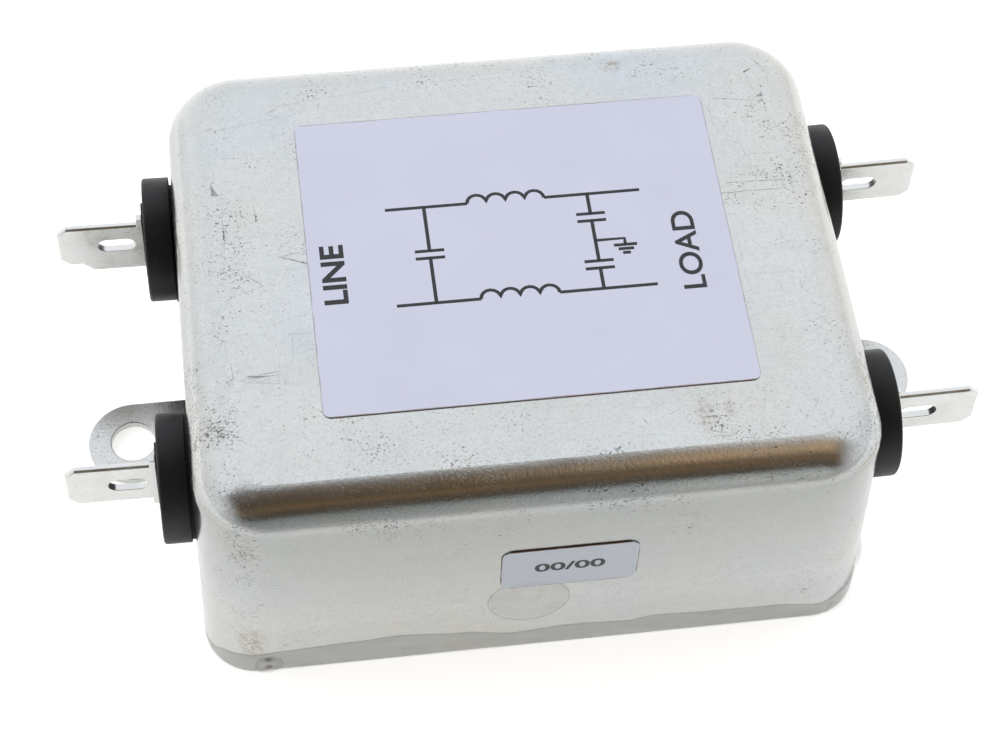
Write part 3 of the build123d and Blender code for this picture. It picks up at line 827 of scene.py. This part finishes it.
for rung, half in enumerate((1.2, 0.8, 0.4)):
    stroke(symbol, [(11.5 - half, 0.2 - 0.5 * rung), (11.5 + half, 0.2 - 0.5 * rung)])
flatten = Matrix.Diagonal((1, 1, print_proud / line_half, 1))
flat_on_label = Matrix.Translation((0, 0, top_of_label)) @ flatten
as_flat_piece(symbol, "print_symbol", flat_on_label)

# %% [markdown]
# ## The resin that ran out
# Clear resin escaped at the foot when the can was filled. It left a thin film along the front,
# a flattened drop on the wall below the small label, and lumps round the right-hand corner.
# The film and the lumps are grids bent onto the wall: their columns run round the can, their rows
# run up the wall, and their height off it falls to nothing at the edge. The drops are discs.

# %% Finish of the resin
def resin_finish(name, low, high, cover, rim_tone, rim_cover, fleck=None):
    """Thin clear resin, denser and darker along its rim, perhaps with a fleck of dirt in it."""
    finish, tree, shader = new_finish(name)
    place = object_place(tree)
    drift = remap(tree, speckle(tree, place, 0.005, 4), 0.25, 0.75)
    attribute = tree.nodes.new("ShaderNodeAttribute")
    attribute.attribute_name = "rim"
    rim = attribute.outputs["Fac"]
    tone = blend_colours(tree, rim, blend_colours(tree, drift, low, high), rim_tone)
    streaks = remap(tree, speckle(tree, object_place(tree, (0.3, 1, 1)), 0.0016, 3), 0.3, 0.7, -0.04, 0.05)
    covering = calculate(tree, "ADD", calculate(tree, "MULTIPLY_ADD", rim, rim_cover, cover), streaks)
    if fleck:
        dirt = remap(tree, near_spot(tree, place, fleck, 1.0), 0.45, 0.7)
        tone = blend_colours(tree, dirt, tone, (0.10, 0.025, 0.02))
        covering = calculate(tree, "MAXIMUM", covering, calculate(tree, "MULTIPLY", dirt, 0.85))
    tree.links.new(tone, shader.inputs["Base Color"])
    tree.links.new(covering, shader.inputs["Alpha"])
    tree.links.new(remap(tree, drift, 0, 1, 0.12, 0.28), shader.inputs["Roughness"])
    roughen(tree, shader, speckle(tree, place, 0.0025, 3), 0.00005, 0.4)
    return finish


run_resin = resin_finish("run_resin", (0.17, 0.18, 0.175), (0.24, 0.245, 0.23), 0.21,
                         (0.16, 0.17, 0.16), 0.12)
drop_resin = resin_finish("drop_resin", (0.50, 0.55, 0.58), (0.62, 0.68, 0.72), 0.10,
                          (0.12, 0.13, 0.13), 0.30)
lump_resin = resin_finish("lump_resin", (0.68, 0.71, 0.72), (0.78, 0.80, 0.80), 0.16,
                          (0.22, 0.23, 0.23), 0.14)
bead_resin = resin_finish("bead_resin", (0.40, 0.46, 0.48), (0.55, 0.60, 0.62), 0.10,
                          (0.16, 0.18, 0.19), 0.25, (-28.5, -29.3, 1.6))


# %% Points on the front of the can
def on_wall(along, height, proud):
    """Point on the front wall and round its corners. Along is measured from the middle of the front."""
    half_length, half_width, radius = can_at(height)
    straight = half_length - radius
    turned = min(max(abs(along) - straight, 0) / radius, math.pi / 2)
    past = max(abs(along) - straight - radius * math.pi / 2, 0)
    side = 1 if along > 0 else -1
    middle = Vector((side * min(abs(along), straight), radius - half_width, height))
    way = Vector((side * math.sin(turned), -math.cos(turned), 0))
    return middle + way * (radius + proud) + Vector((0, past, 0))


def level_between(marks, along):
    """Height of a wavy edge, read smoothly between marks of (along, height) in millimetres."""
    for (x0, z0), (x1, z1) in zip(marks, marks[1:]):
        if x0 <= along <= x1:
            share = (along - x0) / (x1 - x0)
            return z0 + (z1 - z0) * share * share * (3 - 2 * share)
    return marks[-1][1]


def face_off_wall(shape):
    """Turns the faces of an open piece on the front wall away from the can."""
    bmesh.ops.recalc_face_normals(shape, faces=shape.faces)
    if sum(f.normal.dot(Vector((f.calc_center_median().x * 0.2, -1, 0))) for f in shape.faces) < 0:
        bmesh.ops.reverse_faces(shape, faces=shape.faces)


def wall_film(name, finish, start, stop, top_marks, thickness_at, columns, rows=16):
    """A film of resin on the wall between two places, up to a wavy edge."""
    shape = bmesh.new()
    bmesh.ops.create_grid(shape, x_segments=columns, y_segments=rows, size=1.0)
    rim = shape.verts.layers.float.new("rim")
    for vert in shape.verts:
        along = start + (stop - start) * (vert.co.x + 1) / 2
        share = (vert.co.y + 1) / 2
        height = level_between(top_marks, along) * share
        ends = min(1, (along - start) / 1.5, (stop - along) / 1.5)
        edge = math.sqrt(max(1 - share ** 8, 0)) * math.sqrt(max(ends, 0))
        proud = thickness_at(along, height) * edge - 0.01
        vert[rim] = max(1 - (1 - share) * 14, 0)
        vert.co = on_wall(along * mm, max(height, 0.02) * mm, proud * mm)
    face_off_wall(shape)
    return make_piece(shape, name, finish, outwards=False)


# %% Lay the film along the foot
foot_marks = [(-42, 0.3), (-39, 0.6), (-36.5, 1.2), (-35, 1.9), (-33, 3.0), (-31, 3.5), (-27, 4.0),
              (-20, 4.5), (-15, 4.9), (-8, 4.1), (-3, 3.1), (3, 3.7), (9.5, 3.3), (12, 3.9),
              (18, 3.5), (25, 3.4), (30, 2.7), (33, 3.6), (36, 4.4)]
wall_film("resin_run", run_resin, -42, 36, foot_marks,
          lambda along, height: 0.06 + 0.03 * noise.noise(Vector((along / 4, height / 3, 0.5))), 180)

# %% Build the lumps at the right-hand corner
lump_marks = [(31, 3.0), (33, 3.6), (35, 5.2), (37, 6.4), (39, 6.8), (41, 6.0), (45, 4.0)]
wall_film("resin_lumps", lump_resin, 31, 45, lump_marks,
          lambda along, height: 0.26 + 0.36 * max(0, 1 - abs(along - 37.5) / 6) *
          (1 + 0.7 * noise.noise(Vector((along / 1.6, height / 1.8, 3.1)))), 70, 24)

# %% Let the flat drop and the droplet dry
def wall_drop(name, finish, along, height, radius, proud, wobble, segments=56):
    """A flattened drop: a disc whose rings are inset and lifted, then laid against the wall."""
    shape = bmesh.new()
    disc = bmesh.ops.create_circle(shape, cap_ends=True, segments=segments, radius=radius)
    faces = list({f for v in disc["verts"] for f in v.link_faces})
    for step, lift in ((0.03, 0.55), (0.05, 0.28), (0.12, 0.12), (0.25, 0.05), (0.2, 0.0)):
        bmesh.ops.inset_region(shape, faces=faces, thickness=radius * step, depth=0, use_boundary=True,
                               use_even_offset=True)
        bmesh.ops.translate(shape, vec=(0, 0, proud * lift), verts=list({v for f in faces for v in f.verts}))
    rim = shape.verts.layers.float.new("rim")
    for vert in shape.verts:
        vert[rim] = 1.0 if vert.co.xy.length > 0.98 * radius else 0.0
        bearing = Vector((vert.co.x, vert.co.y, 0)).normalized()
        stretch = 1 + wobble * noise.noise(bearing * 1.3 + Vector((along, height, 0)))
        flat = Vector((vert.co.x * stretch, vert.co.y * stretch, vert.co.z))
        vert.co = on_wall(along * mm + flat.x, height * mm + flat.y, flat.z - 0.02 * mm)
    face_off_wall(shape)
    return make_piece(shape, name, finish, outwards=False)


wall_drop("resin_drop", drop_resin, -1.5, 9.8, 4.25 * mm, 0.17 * mm, 0.05)
wall_drop("resin_droplet", bead_resin, -28.5, 1.3, 1.35 * mm, 0.4 * mm, 0.3, 32)

# %% [markdown]
# ## Inside the can
# Nobody sees the choke, the capacitors or the resin round them once the can is closed,
# but a reader who opens the model should find each in its own material.

# %% Finishes of the hidden pieces
def plain_finish(name, low, high, grain, roughness_low, roughness_high, metallic=0.0, relief=0.00001):
    """A finish that drifts between two tones, with a light grain."""
    finish, tree, shader = new_finish(name)
    place = object_place(tree)
    drift = remap(tree, speckle(tree, place, grain, 4), 0.3, 0.7)
    tree.links.new(blend_colours(tree, drift, low, high), shader.inputs["Base Color"])
    tree.links.new(remap(tree, drift, 0, 1, roughness_low, roughness_high), shader.inputs["Roughness"])
    shader.inputs["Metallic"].default_value = metallic
    roughen(tree, shader, speckle(tree, place, grain / 6, 3), relief, 0.5)
    return finish


ferrite = plain_finish("ferrite", (0.045, 0.045, 0.048), (0.075, 0.075, 0.08), 0.002, 0.55, 0.75)
divider = plain_finish("divider_plastic", (0.70, 0.67, 0.58), (0.78, 0.75, 0.67), 0.003, 0.4, 0.5)
copper = plain_finish("enamelled_copper", (0.42, 0.13, 0.04), (0.62, 0.25, 0.09), 0.002, 0.22, 0.34, 1.0)
film_box = plain_finish("film_capacitor", (0.28, 0.30, 0.31), (0.36, 0.38, 0.39), 0.004, 0.3, 0.42)
small_box = plain_finish("earth_capacitor", (0.06, 0.16, 0.36), (0.09, 0.21, 0.44), 0.003, 0.3, 0.42)
lacquer = plain_finish("resistor_lacquer", (0.42, 0.32, 0.19), (0.55, 0.44, 0.29), 0.002, 0.35, 0.5)
cast_resin = plain_finish("cast_resin", (0.58, 0.53, 0.40), (0.70, 0.65, 0.52), 0.006, 0.15, 0.3)
hidden = {
    "choke_core": ferrite, "core_divider": divider, "line_winding": copper, "neutral_winding": copper,
    "x_capacitor": film_box, "y_capacitor_line": small_box, "y_capacitor_neutral": small_box,
    "discharge_resistor": lacquer, "earth_tag": tab_metal, "potting": cast_resin,
    "rating_label": rating_film, "date_label": date_film,
}
for name in places:
    hidden[f"gasket_{name}"] = rubber
    hidden[f"inner_washer_{name}"] = moulding
for node, finish in hidden.items():
    materials = nodes[node].data.materials
    materials.clear()
    materials.append(finish)
print(len(hidden), "packed nodes carry their own finish")
